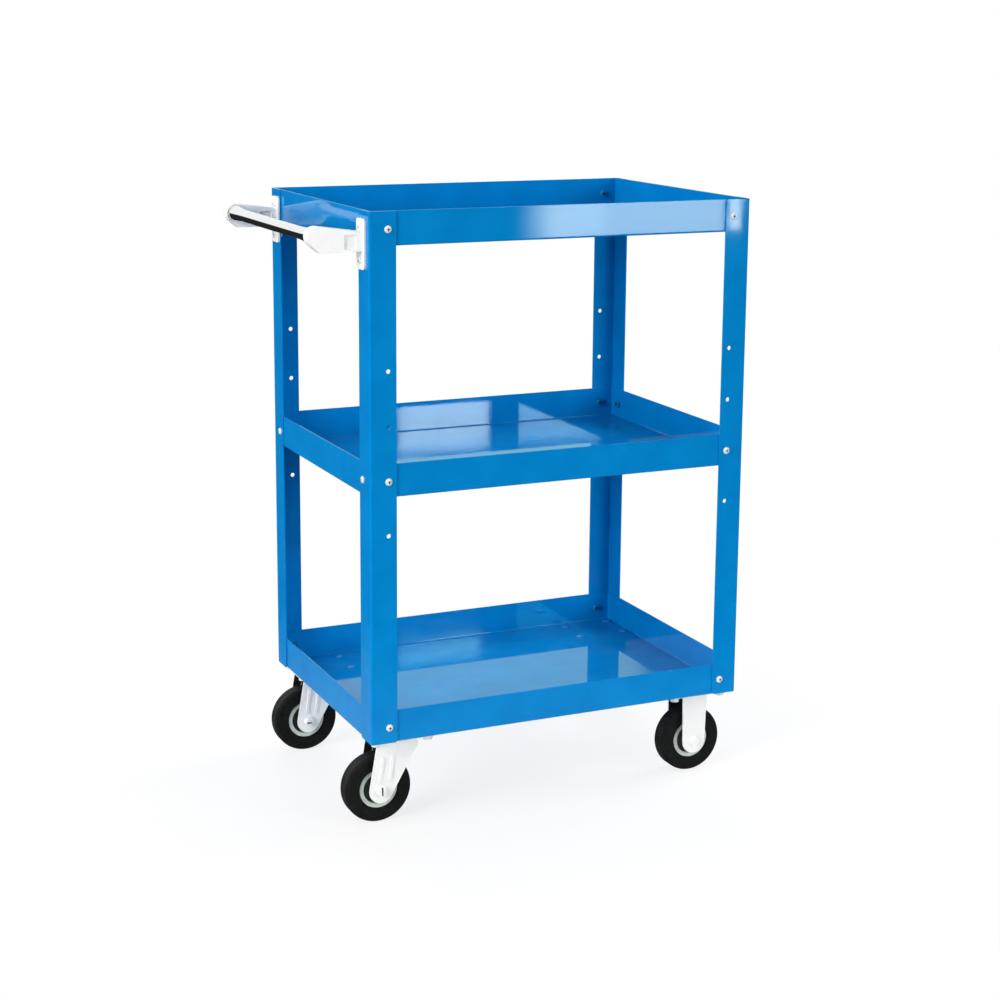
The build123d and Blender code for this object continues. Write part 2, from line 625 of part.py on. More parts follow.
def caster_pieces():
    swivel = {
        "swivel_plate": swivel_plate(),
        "swivel_ball_ring": swivel_ball_ring(),
        "swivel_lower_race": swivel_lower_race(),
        "swivel_king_pin": swivel_king_pin(),
        "swivel_king_nut": swivel_king_nut(),
        "swivel_fork": swivel_fork(),
        **wheel_pieces(-TRAIL),
    }
    rigid = {"rigid_bracket": rigid_bracket(), **wheel_pieces(0)}
    pieces = {}
    for corner, (right, rear) in CORNERS.items():
        for name, piece in (rigid if right else swivel).items():
            placed = Pos(CASTER_X, CASTER_Y, 0) * piece
            pieces[name + "_" + corner] = at_corner(placed, right, rear)
    pieces["caster_bolts"], pieces["caster_nuts"] = plate_fasteners()
    return pieces


def write_pieces(pieces):
    """One file for each piece, moved so that the origin is under the middle of the whole cart."""
    os.makedirs("parts", exist_ok=True)
    shift = Pos(ORIGIN_SHIFT, 0, 0)
    for name, piece in pieces.items():
        solids = piece if isinstance(piece, list) else [piece]
        placed = [shift * solid for shape in solids for solid in shape.solids()]
        export_step(placed[0] if len(placed) == 1 else Compound(placed), f"parts/{name}.step")


write_pieces({**frame_pieces(), **handle_pieces(), **caster_pieces()})
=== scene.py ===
import json
import math

import bmesh
import bpy
from mathutils import Matrix, Vector

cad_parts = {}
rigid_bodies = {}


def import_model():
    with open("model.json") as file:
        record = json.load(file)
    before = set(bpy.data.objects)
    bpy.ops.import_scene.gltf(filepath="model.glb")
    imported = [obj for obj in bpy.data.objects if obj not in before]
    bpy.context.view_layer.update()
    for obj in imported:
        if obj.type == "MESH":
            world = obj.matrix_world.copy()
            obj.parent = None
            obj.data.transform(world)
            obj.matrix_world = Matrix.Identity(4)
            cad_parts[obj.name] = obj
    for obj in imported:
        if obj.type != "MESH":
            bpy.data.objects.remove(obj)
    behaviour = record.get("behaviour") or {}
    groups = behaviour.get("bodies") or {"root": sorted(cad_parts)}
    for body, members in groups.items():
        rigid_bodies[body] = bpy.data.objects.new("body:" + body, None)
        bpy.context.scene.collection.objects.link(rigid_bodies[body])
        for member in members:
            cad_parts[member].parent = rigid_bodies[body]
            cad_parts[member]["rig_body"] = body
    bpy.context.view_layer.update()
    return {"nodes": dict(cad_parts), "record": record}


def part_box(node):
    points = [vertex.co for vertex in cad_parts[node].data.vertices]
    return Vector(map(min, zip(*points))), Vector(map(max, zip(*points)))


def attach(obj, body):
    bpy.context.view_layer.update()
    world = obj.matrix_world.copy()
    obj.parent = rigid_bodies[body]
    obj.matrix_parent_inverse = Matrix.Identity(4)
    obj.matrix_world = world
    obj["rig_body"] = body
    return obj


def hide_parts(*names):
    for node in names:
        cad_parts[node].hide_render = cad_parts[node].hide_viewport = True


# Three-tier steel cart: glossy blue sheet, zinc plated casters and fasteners, and a chrome push tube
# in white moulded brackets. Metres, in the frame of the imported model.

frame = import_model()
nodes = frame["nodes"]
scene = bpy.context.scene
scene.view_settings.view_transform = "Standard"

FRAME_MIDDLE_X = (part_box("post_front_left")[0].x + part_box("post_front_right")[1].x) / 2
AXLE_LINE_Y = sum(corner.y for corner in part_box("wheel_core_rear_left")) / 2


# Shader helpers

def add(tree, kind, inputs=None, **settings):
    """One shader node with its settings. Inputs are values, or sockets to link."""
    made = tree.nodes.new("ShaderNode" + kind)
    for name, value in settings.items():
        setattr(made, name, value)
    for name, value in (inputs or {}).items():
        if isinstance(value, bpy.types.NodeSocket):
            tree.links.new(value, made.inputs[name])
        else:
            made.inputs[name].default_value = value
    return made


def figure(tree, operation, first, second=0.0):
    """Result of one Math node."""
    return add(tree, "Math", {0: first, 1: second}, operation=operation).outputs[0]


def part_of(tree, mask, share):
    """Mask at a share of its strength."""
    return figure(tree, "MULTIPLY", mask, share)


def ramp(tree, value, start, end, low=0.0, high=1.0):
    """Value eased from low to high as it goes from start to end."""
    limits = {"Value": value, "From Min": start, "From Max": end, "To Min": low, "To Max": high}
    return add(tree, "MapRange", limits, interpolation_type="SMOOTHSTEP").outputs["Result"]


def mixed(tree, share, first, second):
    """Colour between two colours."""
    made = add(tree, "Mix", {0: share, 6: first, 7: second}, data_type="RGBA")
    return made.outputs[2]


def along(tree, vector, axis):
    """One part of a vector."""
    return add(tree, "SeparateXYZ", {0: vector}).outputs[axis]


def noise(tree, size, detail=2.0, stretch=(1.0, 1.0, 1.0)):
    """Noise about 0.5 with features of that size in metres, fixed to the piece."""
    place = add(tree, "TexCoord").outputs["Object"]
    stretched = add(tree, "Mapping", {"Vector": place, "Scale": stretch}).outputs["Vector"]
    scale = figure(tree, "DIVIDE", 1.0, size)
    return add(tree, "TexNoise", {"Vector": stretched, "Scale": scale, "Detail": detail}).outputs[0]


def effect(name, inputs, outputs):
    """Node group for an effect that several finishes share: the group, its inputs and its outputs."""
    group = bpy.data.node_groups.new(name, "ShaderNodeTree")
    for socket, value in inputs.items():
        made = group.interface.new_socket(socket, in_out="INPUT", socket_type="NodeSocketFloat")
        made.default_value = value
    for socket in outputs:
        group.interface.new_socket(socket, in_out="OUTPUT", socket_type="NodeSocketFloat")
    return group, group.nodes.new("NodeGroupInput").outputs, group.nodes.new("NodeGroupOutput").inputs


def use(tree, group, **values):
    """An effect placed in a finish with its own values."""
    made = tree.nodes.new("ShaderNodeGroup")
    made.node_tree = group
    for name, value in values.items():
        made.inputs[name.replace("_", " ")].default_value = value
    return made.outputs


def new_finish(name, **values):
    """Material with one shader, and the values that are the same all over it."""
    finish = bpy.data.materials.new(name)
    finish.use_nodes = True
    shader = finish.node_tree.nodes["Principled BSDF"]
    for socket, value in values.items():
        shader.inputs[socket.replace("_", " ")].default_value = value
    return finish, finish.node_tree, shader


def feed(tree, shader, **sockets):
    """Link varying sockets to the shader."""
    for name, socket in sockets.items():
        tree.links.new(socket, shader.inputs[name.replace("_", " ")])


def relief(tree, height, edge_round=0.0):
    """Normal from a height in metres, with sharp edges rounded off."""
    inputs = {"Height": height, "Strength": 1.0, "Distance": 1.0}
    if edge_round:
        inputs["Normal"] = add(tree, "Bevel", {"Radius": edge_round}, samples=4).outputs["Normal"]
    return add(tree, "Bump", inputs).outputs["Normal"]


# Effects that finishes share

def uneven_skin():
    """Fine grain and slow waves of a surface, as a height in metres, and a slow mottle."""
    group, given, result = effect(
        "uneven_skin",
        {"Grain Size": 0.001, "Grain Depth": 0.0, "Wave Size": 0.2, "Wave Depth": 0.0},
        ("Height", "Mottle"),
    )
    grain = figure(group, "MULTIPLY", noise(group, given["Grain Size"]), given["Grain Depth"])
    waves = figure(group, "MULTIPLY", noise(group, given["Wave Size"], detail=1.0), given["Wave Depth"])
    group.links.new(figure(group, "ADD", grain, waves), result["Height"])
    mottle_size = figure(group, "DIVIDE", given["Wave Size"], 3.0)
    group.links.new(ramp(group, noise(group, mottle_size, detail=4.0), 0.3, 0.7), result["Mottle"])
    return group


def rubbed_edges():
    """Mask of the outer edges, broken up where they were handled."""
    group, given, result = effect("rubbed_edges", {"Width": 0.001, "Break Size": 0.02}, ("Mask",))
    rounded = add(group, "Bevel", {"Radius": given["Width"]}, samples=4).outputs["Normal"]
    flat = add(group, "NewGeometry").outputs["Normal"]
    turned = add(group, "VectorMath", {0: rounded, 1: flat}, operation="DOT_PRODUCT").outputs["Value"]
    edge = ramp(group, turned, 0.98, 0.75)
    broken = ramp(group, noise(group, given["Break Size"], detail=5.0), 0.4, 0.65)
    group.links.new(figure(group, "MULTIPLY", edge, broken), result["Mask"])
    return group


def settled_dust():
    """Mask of faint dust on what faces up."""
    group, given, result = effect("settled_dust", {"Amount": 0.1, "Patch Size": 0.05}, ("Mask",))
    normal = add(group, "NewGeometry").outputs["Normal"]
    upward = ramp(group, along(group, normal, "Z"), 0.5, 1.0)
    patches = ramp(group, noise(group, given["Patch Size"], detail=6.0), 0.35, 0.75)
    dust = figure(group, "MULTIPLY", upward, patches)
    group.links.new(figure(group, "MULTIPLY", dust, given["Amount"]), result["Mask"])
    return group


def plating_crystals():
    """Tone of the small crystals in a zinc coat, with a cloud over them."""
    crystal_share = 0.35
    cloud_share = 0.65
    group, given, result = effect("plating_crystals", {"Crystal Size": 0.003}, ("Tone",))
    place = add(group, "TexCoord").outputs["Object"]
    scale = figure(group, "DIVIDE", 1.0, given["Crystal Size"])
    cells = add(group, "TexVoronoi", {"Vector": place, "Scale": scale}).outputs["Color"]
    crystals = part_of(group, add(group, "SeparateColor", {0: cells}).outputs[0], crystal_share)
    cloud_size = figure(group, "MULTIPLY", given["Crystal Size"], 6.0)
    cloud = part_of(group, noise(group, cloud_size, detail=4.0), cloud_share)
    group.links.new(figure(group, "ADD", crystals, cloud), result["Tone"])
    return group


SKIN = uneven_skin()
RUBBED = rubbed_edges()
DUST = settled_dust()
CRYSTALS = plating_crystals()


# Finishes, one for each slot of the record

PAINT_DEEP = (0.0006, 0.188, 0.5, 1)
PAINT_FRESH = (0.0008, 0.212, 0.545, 1)
PAINT_ON_EDGES = (0.07, 0.36, 0.68, 1)
DUST_GREY = (0.42, 0.47, 0.5, 1)
SCREW_ZINC = (0.86, 0.87, 0.86, 1)
SCREW_ZINC_DARK = (0.7, 0.71, 0.7, 1)
CASTER_ZINC = (0.95, 0.97, 0.95, 1)
CASTER_ZINC_DARK = (0.87, 0.9, 0.88, 1)
ZINC_ON_EDGES = (0.95, 0.96, 0.95, 1)
BEARING_GREY = (0.5, 0.5, 0.51, 1)
BEARING_DARK = (0.36, 0.36, 0.37, 1)
# painted shade on the faces inside a caster's legs
LEG_PAINTED_SHADE = (0.012, 0.012, 0.011, 1)
# painted shade in screw recesses and bolt slots, and dark threads
SHADE_AND_THREAD_DARK = (0.05, 0.05, 0.05, 1)
SHADE_AND_THREAD_DARKER = (0.02, 0.02, 0.02, 1)
CHROME_DULL = (0.83, 0.84, 0.85, 1)
CHROME_BRIGHT = (0.88, 0.885, 0.89, 1)
MOULDING_YELLOWED = (0.86, 0.86, 0.845, 1)
MOULDING_WHITE = (0.89, 0.89, 0.88, 1)
MOULDING_ON_EDGES = (0.8, 0.79, 0.76, 1)
CORE_GREY = (0.44, 0.5, 0.44, 1)
CORE_PALE = (0.54, 0.6, 0.54, 1)
# painted shade in a wheel core's recess
CORE_RECESS_SHADE = (0.05, 0.065, 0.06, 1)
RUBBER_BLACK = (0.006, 0.0065, 0.006, 1)
RUBBER_DARK = (0.01, 0.0105, 0.01, 1)
RUBBER_SCUFFED = (0.05, 0.05, 0.047, 1)

# Distances along the axle from the middle of a wheel. A leg's are below zero where its face looks
# at the wheel.
LEG_INSIDE = -0.016
LEG_OUTSIDE = -0.008
CORE_FACE = 0.0105
CORE_RECESS = 0.007
TREAD_EDGE = 0.0115
TREAD_FULL = 0.008


def blue_paint():
    """Gloss coat on rolled sheet: slow waves, fine peel, thin paint on edges, a trace of dust."""
    finish, tree, shader = new_finish("blue_paint", Specular_IOR_Level=0.4)
    skin = use(tree, SKIN, Grain_Size=0.0016, Grain_Depth=2e-6, Wave_Size=0.16, Wave_Depth=1.2e-4)
    rubbed = use(tree, RUBBED, Width=0.0009, Break_Size=0.03)["Mask"]
    dust = use(tree, DUST, Amount=0.025, Patch_Size=0.03)["Mask"]
    coat = mixed(tree, skin["Mottle"], PAINT_DEEP, PAINT_FRESH)
    edged = mixed(tree, part_of(tree, rubbed, 0.35), coat, PAINT_ON_EDGES)
    dusty = mixed(tree, dust, edged, DUST_GREY)
    gloss = ramp(tree, skin["Mottle"], 0.0, 1.0, low=0.03, high=0.05)
    dulled = figure(tree, "ADD", gloss, part_of(tree, dust, 0.3))
    normal = relief(tree, skin["Height"], edge_round=0.0006)
    feed(tree, shader, Base_Color=dusty, Roughness=dulled, Normal=normal)
    return finish


def leg_insides(tree):
    """Mask of the faces of a caster's legs that look at the wheel, where shade is painted."""
    place = add(tree, "TexCoord").outputs
    across = along(tree, place["Object"], "Y")
    facing = along(tree, place["Normal"], "Y")
    side = figure(tree, "SIGN", across)
    off_wheel = figure(tree, "SUBTRACT", across, figure(tree, "MULTIPLY", side, AXLE_LINE_Y))
    return ramp(tree, figure(tree, "MULTIPLY", off_wheel, facing), LEG_OUTSIDE, LEG_INSIDE)


def zinc(name, base, dark, roughness, crystal, has_legs=False):
    """Plated steel with small crystals, bright on rubbed edges, and with painted shade inside a caster's
    legs: dark and not metallic.
    """
    finish, tree, shader = new_finish(name)
    tone = use(tree, CRYSTALS, Crystal_Size=crystal)["Tone"]
    rubbed = use(tree, RUBBED, Width=0.0008, Break_Size=0.012)["Mask"]
    skin = use(tree, SKIN, Grain_Size=0.0012, Grain_Depth=2.5e-6, Wave_Size=0.03, Wave_Depth=4e-5)
    plated = mixed(tree, tone, dark, base)
    colour = mixed(tree, part_of(tree, rubbed, 0.5), plated, ZINC_ON_EDGES)
    metal = ramp(tree, tone, 0.1, 0.9, low=0.15, high=0.3)
    if has_legs:
        # painted shade: faces inside a caster's legs go near black and lose their metal, for the shade
        # between legs and wheel
        inside = leg_insides(tree)
        colour = mixed(tree, inside, colour, LEG_PAINTED_SHADE)
        metal = figure(tree, "MULTIPLY", metal, figure(tree, "SUBTRACT", 1.0, inside))
    dull = ramp(tree, tone, 0.2, 0.8, low=roughness + 0.08, high=roughness - 0.05)
    normal = relief(tree, skin["Height"], edge_round=0.0006)
    feed(tree, shader, Base_Color=colour, Roughness=dull, Metallic=metal, Normal=normal)
    return finish


def chrome():
    """Polished plating with a few dull smears of handling."""
    finish, tree, shader = new_finish("handle_chrome", Metallic=1.0)
    skin = use(tree, SKIN, Grain_Size=0.002, Grain_Depth=4e-7, Wave_Size=0.05, Wave_Depth=3e-6)
    smears = ramp(tree, noise(tree, 0.03, detail=5.0, stretch=(1.0, 0.3, 1.0)), 0.45, 0.75)
    plated = mixed(tree, skin["Mottle"], CHROME_DULL, CHROME_BRIGHT)
    gloss = ramp(tree, smears, 0.0, 1.0, low=0.05, high=0.12)
    feed(tree, shader, Base_Color=plated, Roughness=gloss, Normal=relief(tree, skin["Height"]))
    return finish


def white_moulding():
    """Moulded plastic with a fine grain, a little yellowed and rubbed on its edges."""
    finish, tree, shader = new_finish("handle_bracket_white", Specular_IOR_Level=0.45)
    skin = use(tree, SKIN, Grain_Size=0.0006, Grain_Depth=6e-6, Wave_Size=0.03, Wave_Depth=2e-5)
    rubbed = use(tree, RUBBED, Width=0.0012, Break_Size=0.01)["Mask"]
    plain = mixed(tree, skin["Mottle"], MOULDING_YELLOWED, MOULDING_WHITE)
    worn = mixed(tree, part_of(tree, rubbed, 0.4), plain, MOULDING_ON_EDGES)
    dull = ramp(tree, skin["Mottle"], 0.0, 1.0, low=0.3, high=0.4)
    normal = relief(tree, skin["Height"], edge_round=0.001)
    feed(tree, shader, Base_Color=worn, Roughness=dull, Normal=normal)
    return finish


def off_wheel_middle(tree):
    """Distance from the middle of the wheel, along its axle."""
    across = along(tree, add(tree, "TexCoord").outputs["Object"], "Y")
    off_line = figure(tree, "SUBTRACT", figure(tree, "ABSOLUTE", across), AXLE_LINE_Y)
    return figure(tree, "ABSOLUTE", off_line)


def wheel_core():
    """Pale moulded core, with painted shade in the recess between rim and hub."""
    finish, tree, shader = new_finish("core_grey", Specular_IOR_Level=0.4)
    skin = use(tree, SKIN, Grain_Size=0.0008, Grain_Depth=8e-6, Wave_Size=0.02, Wave_Depth=2e-5)
    recess = ramp(tree, off_wheel_middle(tree), CORE_FACE, CORE_RECESS)
    pale = mixed(tree, skin["Mottle"], CORE_GREY, CORE_PALE)
    # painted shade: the recess between rim and hub turns near black
    recess_shaded = mixed(tree, recess, pale, CORE_RECESS_SHADE)
    dull = ramp(tree, recess, 0.0, 1.0, low=0.4, high=0.65)
    normal = relief(tree, skin["Height"], edge_round=0.0008)
    feed(tree, shader, Base_Color=recess_shaded, Roughness=dull, Normal=normal)
    return finish


def tyre_rubber():
    """Solid rubber: fine moulded grain, a paler scuffed tread."""
    finish, tree, shader = new_finish("tyre_black", Specular_IOR_Level=0.12)
    skin = use(tree, SKIN, Grain_Size=0.0007, Grain_Depth=1.2e-5, Wave_Size=0.02, Wave_Depth=3e-5)
    tread = ramp(tree, off_wheel_middle(tree), TREAD_EDGE, TREAD_FULL)
    scuffs = figure(tree, "MULTIPLY", tread, ramp(tree, noise(tree, 0.008, detail=6.0), 0.45, 0.7))
    rubber = mixed(tree, skin["Mottle"], RUBBER_BLACK, RUBBER_DARK)
    scuffed = mixed(tree, part_of(tree, scuffs, 0.3), rubber, RUBBER_SCUFFED)
    dull = ramp(tree, scuffs, 0.0, 1.0, low=0.5, high=0.75)
    normal = relief(tree, skin["Height"], edge_round=0.0008)
    feed(tree, shader, Base_Color=scuffed, Roughness=dull, Normal=normal)
    return finish


FINISHES = {
    "blue_paint": blue_paint(),
    "zinc_screws": zinc("zinc_screws", SCREW_ZINC, SCREW_ZINC_DARK, roughness=0.3, crystal=0.0015),
    "caster_zinc": zinc("caster_zinc", CASTER_ZINC, CASTER_ZINC_DARK, 0.36, 0.003, has_legs=True),
    "bearing_steel": zinc("bearing_steel", BEARING_GREY, BEARING_DARK, roughness=0.3, crystal=0.004),
    "handle_chrome": chrome(),
    "handle_bracket_white": white_moulding(),
    "core_grey": wheel_core(),
    "tyre_black": tyre_rubber(),
}
# Second finish of the detailed fasteners: painted shade in screw recesses and bolt slots, and dark
# threads
RECESS_SHADE_AND_THREAD = zinc("recess_shade_and_thread", SHADE_AND_THREAD_DARK, SHADE_AND_THREAD_DARKER, roughness=0.5, crystal=0.001)
SLOTS = {part["node"]: part["material_slot"] for part in frame["record"]["subparts"]}
for node, slot in SLOTS.items():
    nodes[node].material_slots[0].material = FINISHES[slot]


# Fasteners in detail, in the places of the plain ones

ROUND_STEPS = 36
SHARP_ANGLE = math.radians(32)
THREAD_PITCH = 0.001
THREAD_DEPTH = 0.0003
HEAD_EDGE = 0.0007
DOME_STEPS = 6
HEX_END_SHARE = 0.94
HEX_BEVEL = 0.55
RECESS_LENGTH = 0.0056
RECESS_WIDTH = 0.0015
RECESS_DEPTH = 0.002
RECESS_TAPER = 0.45
RECESS_RUN_OUT = 0.001
SLOT_WIDTH = 0.0022
SLOT_DEPTH = 0.0026
HEAD_SLOT_REACH = 0.9
END_SLOT_REACH = 0.8
CUT_EDGE = 0.0003


def circle(radius, height):
    """Points round a circle at a height."""
    turns = [2 * math.pi * step / ROUND_STEPS for step in range(ROUND_STEPS)]
    return [Vector((radius * math.cos(turn), radius * math.sin(turn), height)) for turn in turns]


def hexagon(across, height, bevel=0.0):
    """Hexagon with a corner on +X. Its corners are turned off towards the side that bevel points to."""
    points = []
    for step in range(ROUND_STEPS):
        turn = 2 * math.pi * step / ROUND_STEPS
        radius = across / 2 / math.cos(turn % (math.pi / 3) - math.pi / 6)
        drop = (radius - across / 2) * bevel
        points.append(Vector((radius * math.cos(turn), radius * math.sin(turn), height - drop)))
    return points


def thread(radius, low, high):
    """Rings of a threaded length from low to high, with a chamfered low end."""
    rings = [circle(radius - 2 * THREAD_DEPTH, low)]
    count = int((high - low) / THREAD_PITCH)
    for turn in range(count):
        height = low + (turn + 0.5) * THREAD_PITCH
        rings.append(circle(radius, height))
        rings.append(circle(radius - THREAD_DEPTH, height + THREAD_PITCH / 2))
    return rings + [circle(radius, high)]


def smoothed(mesh):
    """Mesh shaded smooth up to its sharp edges."""
    mesh.shade_smooth()
    mesh.set_sharp_from_angle(angle=SHARP_ANGLE)
    return mesh


def finished_mesh(shape):
    """Smooth mesh of a shape, with its faces turned outward."""
    bmesh.ops.recalc_face_normals(shape, faces=shape.faces)
    mesh = bpy.data.meshes.new("fastener")
    shape.to_mesh(mesh)
    shape.free()
    return smoothed(mesh)


def skinned(rings, closed=False):
    """Mesh over rings of equal count, from the first to the last, with flat ends or closed on itself."""
    shape = bmesh.new()
    rows = [[shape.verts.new(point) for point in ring] for ring in rings]
    pairs = list(zip(rows, rows[1:])) + ([(rows[-1], rows[0])] if closed else [])
    for lower, upper in pairs:
        for step in range(len(lower)):
            after = (step + 1) % len(lower)
            shape.faces.new((lower[step], lower[after], upper[after], upper[step]))
    if not closed:
        shape.faces.new(list(reversed(rows[0])))
        shape.faces.new(rows[-1])
    return finished_mesh(shape)


def cross_recess(top):
    """Tapered cross that is cut out of a screw head whose top is at that height."""
    shape = bmesh.new()
    mouth = (top + RECESS_RUN_OUT, RECESS_LENGTH)
    bottom = (top - RECESS_DEPTH, RECESS_LENGTH * RECESS_TAPER)
    for turn in (0.0, math.pi / 2):
        corners = []
        for height, length in (mouth, bottom):
            half, side = length / 2, RECESS_WIDTH / 2
            for x, y in ((-half, -side), (half, -side), (half, side), (-half, side)):
                corners.append(shape.verts.new(Matrix.Rotation(turn, 3, "Z") @ Vector((x, y, height))))
        upper, lower = corners[:4], corners[4:]
        shape.faces.new(upper)
        shape.faces.new(list(reversed(lower)))
        for step in range(4):
            after = (step + 1) % 4
            shape.faces.new((upper[step], lower[step], lower[after], upper[after]))
    return finished_mesh(shape)


def straight_slot(length, top, turn):
    """Straight slot that is cut across the end of a bolt at that height."""
    shape = bmesh.new()
    size = Matrix.Diagonal((length, SLOT_WIDTH, 2 * SLOT_DEPTH, 1.0))
    bmesh.ops.create_cube(shape, size=1.0, matrix=Matrix.Translation((0, 0, top)) @ size)
    bmesh.ops.rotate(shape, verts=shape.verts, matrix=Matrix.Rotation(turn, 3, "Z"))
    return finished_mesh(shape)


def painted_dark(mesh, reach, low, high):
    """Give the second, dark finish to faces within that reach of the middle and between two heights:
    painted shade in recesses and slots, and a dark thread.
    """
    for face in mesh.polygons:
        centre = face.center
        if centre.xy.length < reach and low < centre.z < high:
            face.material_index = 1
    return mesh


def cut(mesh, tool):
    """Mesh with another one cut out of it."""
    body = bpy.data.objects.new("cut_body", mesh)
    cutter = bpy.data.objects.new("cut_tool", tool)
    for part in (body, cutter):
        scene.collection.objects.link(part)
    step = body.modifiers.new("cut", "BOOLEAN")
    step.object = cutter
    step.use_self = True
    bpy.context.view_layer.update()
    shown_body = body.evaluated_get(bpy.context.evaluated_depsgraph_get())
    result = bpy.data.meshes.new_from_object(shown_body)
    for part in (body, cutter):
        bpy.data.objects.remove(part)
    return smoothed(result)


def dome(head_radius, head_height):
    """Rings of a round head that stands on Z = 0 with a short upright edge."""
    rings = [circle(head_radius, 0.0), circle(head_radius, HEAD_EDGE)]
    rise = head_height - HEAD_EDGE
    ball = (head_radius ** 2 + rise ** 2) / (2 * rise)
    whole = math.asin(head_radius / ball)
    for step in range(1, DOME_STEPS + 1):
        turn = whole * (1 - step / (DOME_STEPS + 1))
        rings.append(circle(ball * math.sin(turn), head_height - ball * (1 - math.cos(turn))))
    return rings


def dome_screw(head_radius, head_height, radius, length):
    """Cross-recessed dome screw with painted shade in its recess and a dark thread. Its head stands on Z
    = 0 and its shank goes down.
    """
    blank = skinned(thread(radius, -length, 0.0) + dome(head_radius, head_height))
    screw = cut(blank, cross_recess(head_height))
    painted_dark(screw, RECESS_LENGTH / 2, CUT_EDGE, head_height - HEAD_EDGE)
    return painted_dark(screw, head_radius, -2 * length, -CUT_EDGE)


def cup_bolt(head_radius, head_height, radius, length):
    """Bolt with a low round head. Its head stands on Z = 0 and its shank goes down."""
    return skinned(thread(radius, -length, 0.0) + dome(head_radius, head_height))


def hex_bolt(across, head_height, radius, length, turn):
    """Hexagon bolt, slotted at both ends with painted shade in the slots if a turn is given. Its head
    stands on Z = 0.
    """
    head = [
        hexagon(across, 0.0),
        hexagon(across, head_height, HEX_BEVEL),
        circle(across / 2 * HEX_END_SHARE, head_height),
    ]
    blank = skinned(thread(radius, -length, 0.0) + head)
    if turn is None:
        return blank
    slotted = cut(blank, straight_slot(2 * across, head_height, turn))
    slotted = cut(slotted, straight_slot(across, -length, turn))
    painted_dark(slotted, across / 2 * HEAD_SLOT_REACH, CUT_EDGE, head_height - CUT_EDGE)
    return painted_dark(slotted, radius * END_SLOT_REACH, CUT_EDGE - length, SLOT_DEPTH + CUT_EDGE - length)


def hex_nut(across, height, radius):
    """Hexagon nut about Z = 0, turned off at both ends."""
    half = height / 2
    return skinned(
        [
            circle(radius, -half + THREAD_PITCH / 2),
            circle(radius + THREAD_PITCH / 2, -half),
            circle(across / 2 * HEX_END_SHARE, -half),
            hexagon(across, -half, -HEX_BEVEL),
            hexagon(across, half, HEX_BEVEL),
            circle(across / 2 * HEX_END_SHARE, half),
            circle(radius + THREAD_PITCH / 2, half),
            circle(radius, half - THREAD_PITCH / 2),
        ],
        closed=True,
    )


def solids_of(node):
    """Boxes of the separate solids in a node."""
    shape = bmesh.new()
    shape.from_mesh(nodes[node].data)
    bmesh.ops.remove_doubles(shape, verts=shape.verts, dist=1e-6)
    left = set(shape.verts)
    boxes = []
    while left:
        reached = [left.pop()]
        for vertex in reached:
            for edge in vertex.link_edges:
                other = edge.other_vert(vertex)
                if other in left:
                    left.remove(other)
                    reached.append(other)
        low = Vector(min(vertex.co[axis] for vertex in reached) for axis in range(3))
        high = Vector(max(vertex.co[axis] for vertex in reached) for axis in range(3))
        boxes.append((low, high))
    shape.free()
    return sorted(boxes, key=lambda box: tuple(box[0]))


def standing(axis, side, corner_axis, place):
    """Matrix that puts a fastener's +Z on one side of an axis and its +X on another axis."""
    up = Vector([side if number == axis else 0.0 for number in range(3)])
    across = Vector([1.0 if number == corner_axis else 0.0 for number in range(3)])
    rows = zip(across, up.cross(across), up, place)
    return Matrix([tuple(row) for row in rows] + [(0, 0, 0, 1)])


def outer_side(centre, axis):
    """Which way is outward from the middle of the cart, or up."""
    if axis == 2:
        return 1.0
    return 1.0 if centre[axis] > (FRAME_MIDDLE_X if axis == 0 else 0.0) else -1.0


def detailed(node, make, slender, head_height):
    """Replace a node's fasteners. Slender ones lie along the longest side of their boxes,
    others along the shortest."""
    joined = bmesh.new()
    meshes = {}
    for low, high in solids_of(node):
        size, centre = high - low, (high + low) / 2
        order = sorted(range(3), key=lambda axis: size[axis])
        axis = order[2] if slender else order[0]
        corner_axis = max((other for other in range(3) if other != axis), key=lambda other: size[other])
        side = outer_side(centre, axis)
        if head_height:
            centre[axis] = (high if side > 0 else low)[axis] - side * head_height
        length = round(size[axis] - head_height, 5)
        across = round(min(size[other] for other in range(3) if other != axis), 5)
        if (length, across) not in meshes:
            meshes[length, across] = make(length, across)
        copy = meshes[length, across].copy()
        copy.transform(standing(axis, side, corner_axis, centre))
        joined.from_mesh(copy)
        bpy.data.meshes.remove(copy)
    mesh = bpy.data.meshes.new(node + "_detailed")
    joined.to_mesh(mesh)
    joined.free()
    piece = bpy.data.objects.new(node + "_detailed", mesh)
    scene.collection.objects.link(piece)
    mesh.materials.append(FINISHES[SLOTS[node]])
    # second finish: painted shade in recesses and slots, and dark threads
    mesh.materials.append(RECESS_SHADE_AND_THREAD)
    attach(piece, nodes[node]["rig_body"])
    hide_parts(node)


SCREW_RADIUS = 0.003
SCREW_HEAD_HEIGHT = 0.0033
BOLT_RADIUS = 0.004
BOLT_HEAD_HEIGHT = 0.0053
CUP_HEAD_HEIGHT = 0.003
KING_PIN_RADIUS = 0.005
SCREWED = ("top_tray", "middle_tray", "bottom_tray", "handle_bracket")
CORNERS = ("front_left", "front_right", "rear_left", "rear_right")
SLOT_TURNS = {"front_left": math.pi / 2, "rear_left": 0.0}


def make_screw(length, across):
    return dome_screw(across / 2, SCREW_HEAD_HEIGHT, SCREW_RADIUS, length)


def make_bolt(turn):
    return lambda length, across: hex_bolt(across, BOLT_HEAD_HEIGHT, BOLT_RADIUS, length, turn)


def make_cup_bolt(length, across):
    return cup_bolt(across / 2, CUP_HEAD_HEIGHT, BOLT_RADIUS, length)


def make_nut(radius):
    return lambda height, across: hex_nut(across, height, radius)


